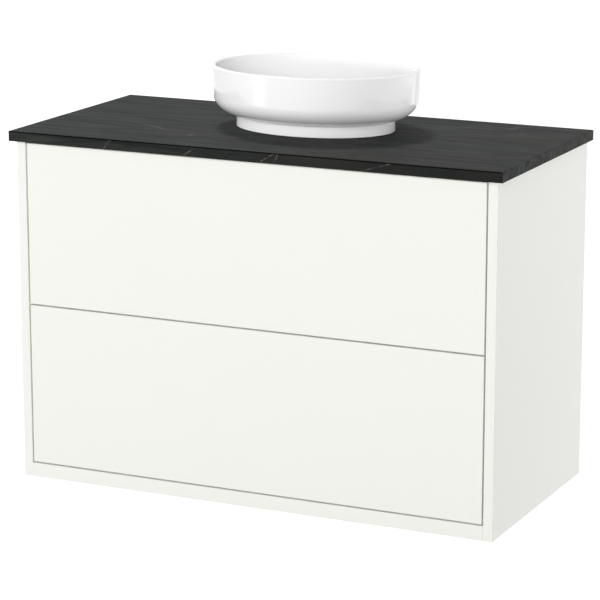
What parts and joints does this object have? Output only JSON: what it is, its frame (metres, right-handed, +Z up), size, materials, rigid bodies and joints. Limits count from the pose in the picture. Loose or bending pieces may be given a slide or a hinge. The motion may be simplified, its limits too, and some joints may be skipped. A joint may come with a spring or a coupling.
{
  "type": "wall-hung vanity unit",
  "caption": "Wall-hung bathroom vanity with flush push-open drawers, a dark marble-effect countertop and a white oval counter-top basin with its waste and trap.",
  "frame": {"origin": "on the wall plane, midway between the two upper hanging holes", "axes": "+X to the right seen from the front, +Y into the wall, +Z up"},
  "size_m": [1.02, 0.49, 0.817],
  "materials": {
    "white_foil": "satin white foil on board",
    "drawer_board": "pale melamine-faced board",
    "dark_laminate": "black marble-effect laminate on board",
    "ceramic": "glossy white glaze",
    "zinc_steel": "bright zinc-plated sheet steel",
    "chrome": "polished chrome",
    "white_plastic": "moulded white polypropylene",
    "grey_plastic": "moulded grey plastic",
    "seal_rubber": "black rubber",
    "white_sealant": "white sanitary sealant",
    "beech": "plain beech"
  },
  "bodies": {
    "cabinet": {"back_rail": "white_foil", "basin": "ceramic", "basin_sealant": "white_sealant", "bottom_front_rail": "white_foil", "bottom_panel": "white_foil", "bracket_screws": "zinc_steel", "cam_bolts": "zinc_steel", "cam_discs": "zinc_steel", "countertop": "dark_laminate", "countertop_screws": "zinc_steel", "dowels": "beech", "front_top_rail": "white_foil", "latch_housings": "grey_plastic", "left_side_panel": "white_foil", "lower_left_runner_outer": "zinc_steel", "lower_right_runner_outer": "zinc_steel", "rear_top_rail": "white_foil", "right_side_panel": "white_foil", "runner_screws": "zinc_steel", "trap_body": "white_plastic", "trap_cleaning_cap": "white_plastic", "trap_inlet_pipe": "white_plastic", "trap_outlet_pipe": "white_plastic", "trap_union_nuts": "white_plastic", "upper_left_runner_outer": "zinc_steel", "upper_right_runner_outer": "zinc_steel", "wall_brackets": "zinc_steel", "waste_body": "chrome", "waste_lower_seal": "seal_rubber", "waste_nut": "white_plastic", "waste_upper_seal": "seal_rubber"},
    "upper_drawer": {"upper_drawer_angles": "zinc_steel", "upper_drawer_back": "drawer_board", "upper_drawer_bottom": "drawer_board", "upper_drawer_front": "white_foil", "upper_drawer_left_side": "drawer_board", "upper_drawer_right_side": "drawer_board", "upper_drawer_screws": "zinc_steel", "upper_left_runner_inner": "zinc_steel", "upper_right_runner_inner": "zinc_steel"},
    "upper_runner_slides": {"upper_left_runner_middle": "zinc_steel", "upper_right_runner_middle": "zinc_steel"},
    "upper_left_plunger": {"upper_left_latch_plunger": "grey_plastic"},
    "upper_right_plunger": {"upper_right_latch_plunger": "grey_plastic"},
    "lower_drawer": {"lower_drawer_angles": "zinc_steel", "lower_drawer_back": "drawer_board", "lower_drawer_bottom": "drawer_board", "lower_drawer_front": "white_foil", "lower_drawer_left_side": "drawer_board", "lower_drawer_right_side": "drawer_board", "lower_drawer_screws": "zinc_steel", "lower_left_runner_inner": "zinc_steel", "lower_right_runner_inner": "zinc_steel"},
    "lower_runner_slides": {"lower_left_runner_middle": "zinc_steel", "lower_right_runner_middle": "zinc_steel"},
    "lower_left_plunger": {"lower_left_latch_plunger": "grey_plastic"},
    "lower_right_plunger": {"lower_right_latch_plunger": "grey_plastic"},
    "plug": {"waste_plug": "chrome"}
  },
  "joints": [
    {"name": "upper_drawer_slide", "type": "slide", "parent": "cabinet", "child": "upper_drawer", "axis": [0, -1, 0], "range_m": [0, 0.34]},
    {"name": "upper_runner_extend", "type": "slide", "parent": "cabinet", "child": "upper_runner_slides", "axis": [0, -1, 0], "range_m": [0, 0.17]},
    {"name": "upper_left_latch_press", "type": "slide", "parent": "cabinet", "child": "upper_left_plunger", "axis": [0, 1, 0], "range_m": [0, 0.0025], "stiffness_N_per_m": 600},
    {"name": "upper_right_latch_press", "type": "slide", "parent": "cabinet", "child": "upper_right_plunger", "axis": [0, 1, 0], "range_m": [0, 0.0025], "stiffness_N_per_m": 600},
    {"name": "lower_drawer_slide", "type": "slide", "parent": "cabinet", "child": "lower_drawer", "axis": [0, -1, 0], "range_m": [0, 0.34]},
    {"name": "lower_runner_extend", "type": "slide", "parent": "cabinet", "child": "lower_runner_slides", "axis": [0, -1, 0], "range_m": [0, 0.17]},
    {"name": "lower_left_latch_press", "type": "slide", "parent": "cabinet", "child": "lower_left_plunger", "axis": [0, 1, 0], "range_m": [0, 0.0025], "stiffness_N_per_m": 600},
    {"name": "lower_right_latch_press", "type": "slide", "parent": "cabinet", "child": "lower_right_plunger", "axis": [0, 1, 0], "range_m": [0, 0.0025], "stiffness_N_per_m": 600},
    {"name": "plug_lift", "type": "slide", "parent": "cabinet", "child": "plug", "axis": [0, 0, 1], "range_m": [0, 0.009]}
  ],
  "couplings": [
    {"joint": "upper_runner_extend", "follows": "upper_drawer_slide", "ratio": 0.5},
    {"joint": "lower_runner_extend", "follows": "lower_drawer_slide", "ratio": 0.5}
  ]
}
